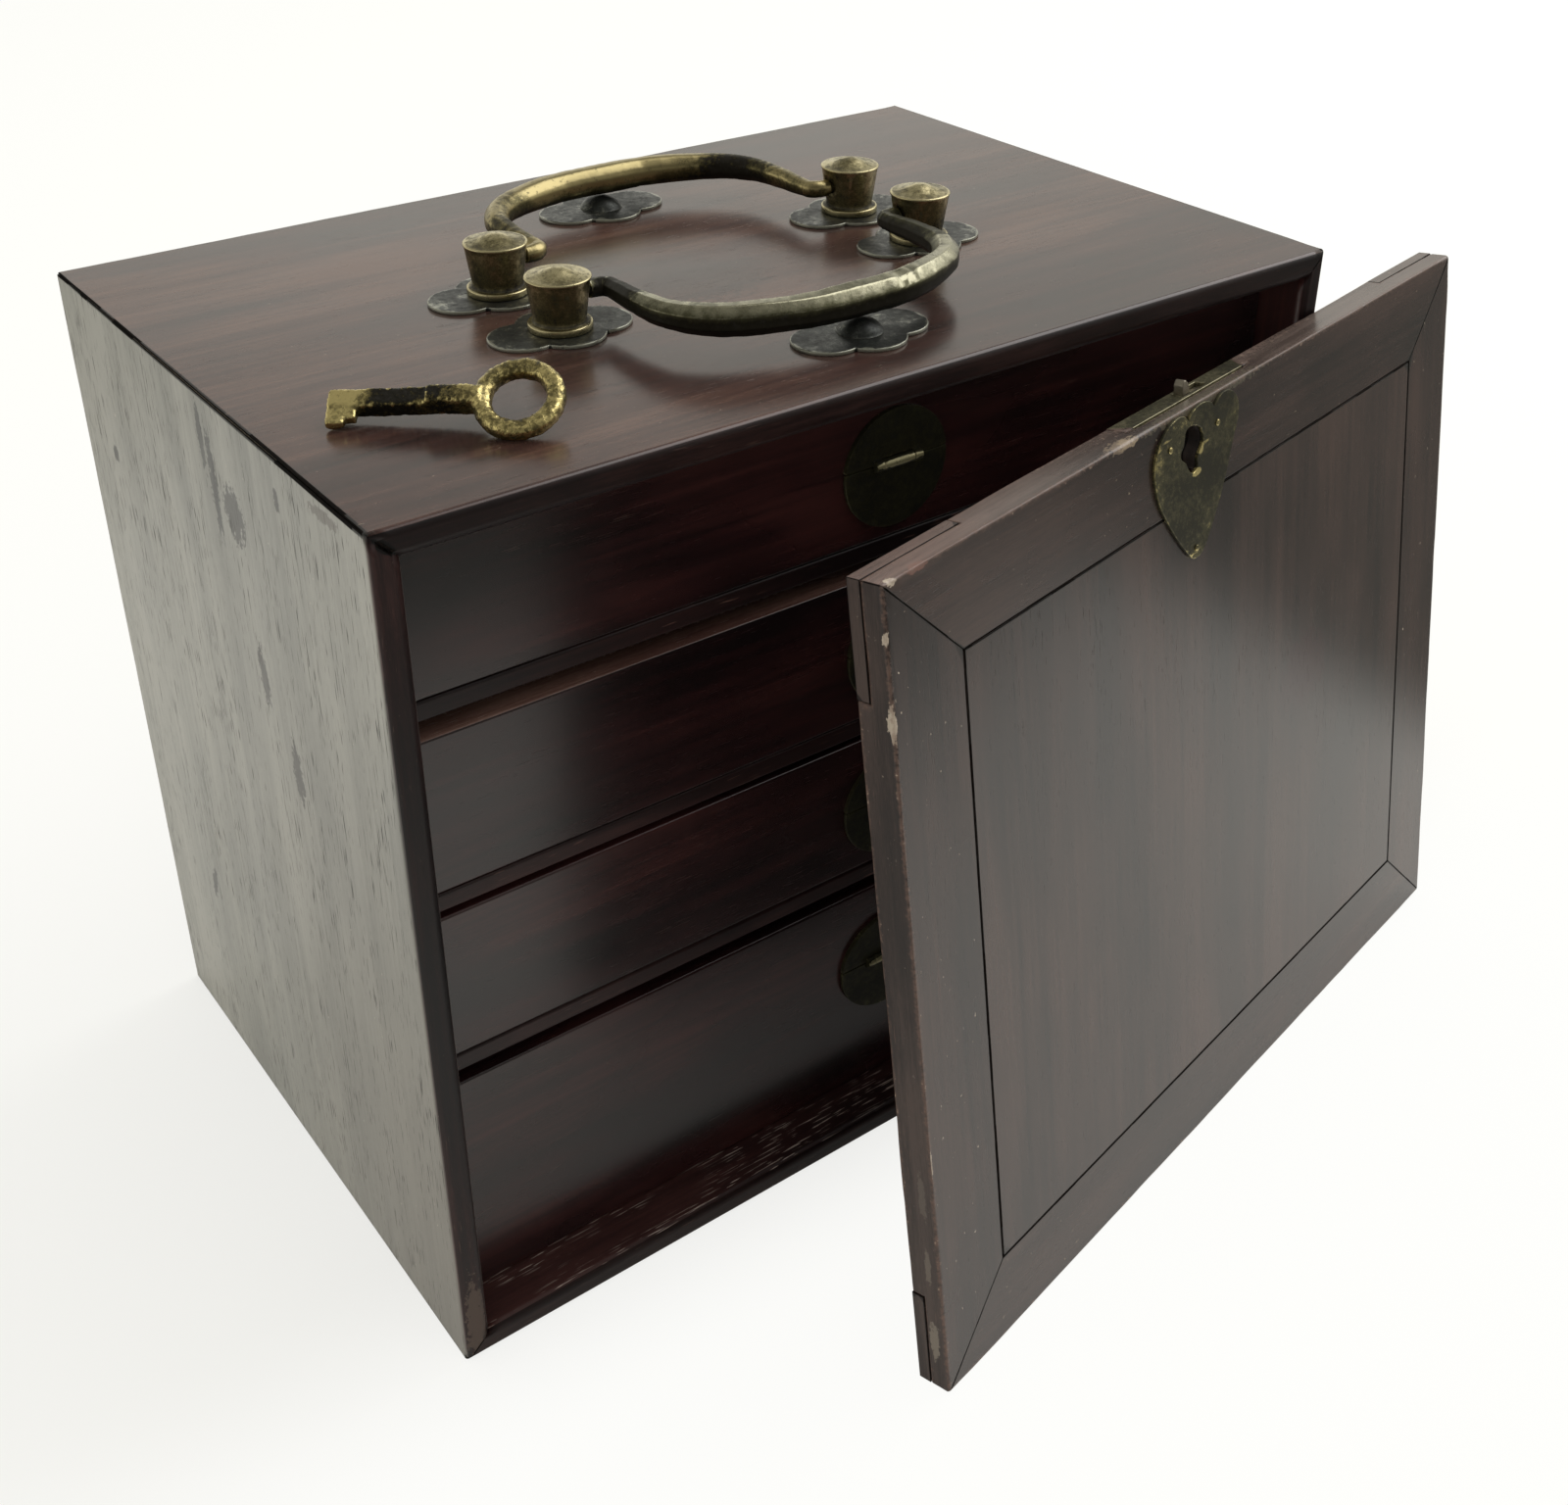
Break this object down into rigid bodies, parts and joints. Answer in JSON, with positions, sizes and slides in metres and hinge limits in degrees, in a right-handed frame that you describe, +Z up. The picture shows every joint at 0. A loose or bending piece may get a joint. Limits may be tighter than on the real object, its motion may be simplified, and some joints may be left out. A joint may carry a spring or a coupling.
{
  "type": "drawer case",
  "caption": "Dark rosewood drawer case with round brass pulls, swinging brass bails on its top, a loose locking front door leaning on it, and the key.",
  "frame": {"origin": "middle of the case's underside, on the surface that it stands on", "axes": "+X to the case's right as seen from the front, +Y from the open front to the back, +Z up"},
  "size_m": [0.2977, 0.2232, 0.2136],
  "materials": {
    "rosewood_case": "satin, worn",
    "rosewood_front": "polished, worn",
    "rosewood_door": "satin, worn",
    "inner_wood": "raw",
    "brass_old": "patinated",
    "brass_dark": "blackened",
    "brass_bright": "cast, rubbed"
  },
  "bodies": {
    "case": {"bottom_board": "rosewood_case", "left_side": "rosewood_case", "right_side": "rosewood_case", "top_board": "rosewood_case", "back_panel": "rosewood_case", "divider_1": "rosewood_front", "divider_2": "rosewood_front", "divider_3": "rosewood_front", "strike_plate": "brass_old", "handle_posts": "brass_old", "post_washers": "brass_old", "post_plates": "brass_dark", "rest_plates": "brass_dark", "rest_studs": "brass_dark"},
    "bail_front": {"bail_front": "brass_old"},
    "bail_rear": {"bail_rear": "brass_old"},
    "door": {"door_stile_left": "rosewood_door", "door_stile_right": "rosewood_door", "door_rail_top": "rosewood_door", "door_rail_bottom": "rosewood_door", "door_panel": "rosewood_door", "door_corner_keys": "rosewood_door", "lock_plate": "brass_old", "lock_case": "brass_old", "lock_cover": "brass_old", "lock_spring": "brass_old", "lock_pin": "brass_old", "escutcheon": "brass_old", "escutcheon_nails": "brass_old"},
    "lock_bolt": {"lock_bolt": "brass_old"},
    "key": {"key": "brass_bright"},
    "drawer_1": {"drawer_1_front": "rosewood_front", "drawer_1_sides": "inner_wood", "drawer_1_back": "inner_wood", "drawer_1_bottom": "inner_wood", "drawer_1_pull_plate": "brass_old", "drawer_1_pull_pin": "brass_old"},
    "flap_1": {"drawer_1_pull_flap": "brass_old"},
    "drawer_2": {"drawer_2_front": "rosewood_front", "drawer_2_sides": "inner_wood", "drawer_2_back": "inner_wood", "drawer_2_bottom": "inner_wood", "drawer_2_pull_plate": "brass_old", "drawer_2_pull_pin": "brass_old"},
    "flap_2": {"drawer_2_pull_flap": "brass_old"},
    "drawer_3": {"drawer_3_front": "rosewood_front", "drawer_3_sides": "inner_wood", "drawer_3_back": "inner_wood", "drawer_3_bottom": "inner_wood", "drawer_3_pull_plate": "brass_old", "drawer_3_pull_pin": "brass_old"},
    "flap_3": {"drawer_3_pull_flap": "brass_old"},
    "drawer_4": {"drawer_4_front": "rosewood_front", "drawer_4_sides": "inner_wood", "drawer_4_back": "inner_wood", "drawer_4_bottom": "inner_wood", "drawer_4_pull_plate": "brass_old", "drawer_4_pull_pin": "brass_old"},
    "flap_4": {"drawer_4_pull_flap": "brass_old"}
  },
  "joints": [
    {"name": "door_slide", "type": "slide", "parent": "case", "child": "door", "axis": [0, -1, 0], "range_m": [0, 0.17]},
    {"name": "drawer_1_slide", "type": "slide", "parent": "case", "child": "drawer_1", "axis": [0, -1, 0], "range_m": [0, 0.11]},
    {"name": "flap_1_hinge", "type": "hinge", "parent": "drawer_1", "child": "flap_1", "pos_m": [0.002, -0.06676, 0.1758], "axis": [-1, 0, 0], "range_deg": [0, 100]},
    {"name": "drawer_2_slide", "type": "slide", "parent": "case", "child": "drawer_2", "axis": [0, -1, 0], "range_m": [0, 0.11]},
    {"name": "flap_2_hinge", "type": "hinge", "parent": "drawer_2", "child": "flap_2", "pos_m": [0.004, -0.06676, 0.13175], "axis": [-1, 0, 0], "range_deg": [0, 100]},
    {"name": "drawer_3_slide", "type": "slide", "parent": "case", "child": "drawer_3", "axis": [0, -1, 0], "range_m": [0, 0.11]},
    {"name": "flap_3_hinge", "type": "hinge", "parent": "drawer_3", "child": "flap_3", "pos_m": [0.004, -0.06676, 0.09055], "axis": [-1, 0, 0], "range_deg": [0, 100]},
    {"name": "drawer_4_slide", "type": "slide", "parent": "case", "child": "drawer_4", "axis": [0, -1, 0], "range_m": [0, 0.11]},
    {"name": "flap_4_hinge", "type": "hinge", "parent": "drawer_4", "child": "flap_4", "pos_m": [0.004, -0.06676, 0.0438], "axis": [-1, 0, 0], "range_deg": [0, 100]},
    {"name": "bail_front_hinge", "type": "hinge", "parent": "case", "child": "bail_front", "pos_m": [0, -0.0178, 0.2075], "axis": [-1, 0, 0], "range_deg": [0, 100]},
    {"name": "bail_rear_hinge", "type": "hinge", "parent": "case", "child": "bail_rear", "pos_m": [0, 0.008, 0.2075], "axis": [1, 0, 0], "range_deg": [0, 100]},
    {"name": "bolt_slide", "type": "slide", "parent": "door", "child": "lock_bolt", "axis": [-0.028, 0.1301, 0.9911], "range_m": [-0.0033, 0]},
    {"name": "key_lift", "type": "slide", "parent": "case", "child": "key", "axis": [0, 0, 1], "range_m": [0, 0.03]}
  ],
  "couplings": [
    {"joint": "drawer_1_slide", "follows": "door_slide", "ratio": 0.647},
    {"joint": "drawer_2_slide", "follows": "door_slide", "ratio": 0.647},
    {"joint": "drawer_3_slide", "follows": "door_slide", "ratio": 0.647},
    {"joint": "drawer_4_slide", "follows": "door_slide", "ratio": 0.647}
  ]
}
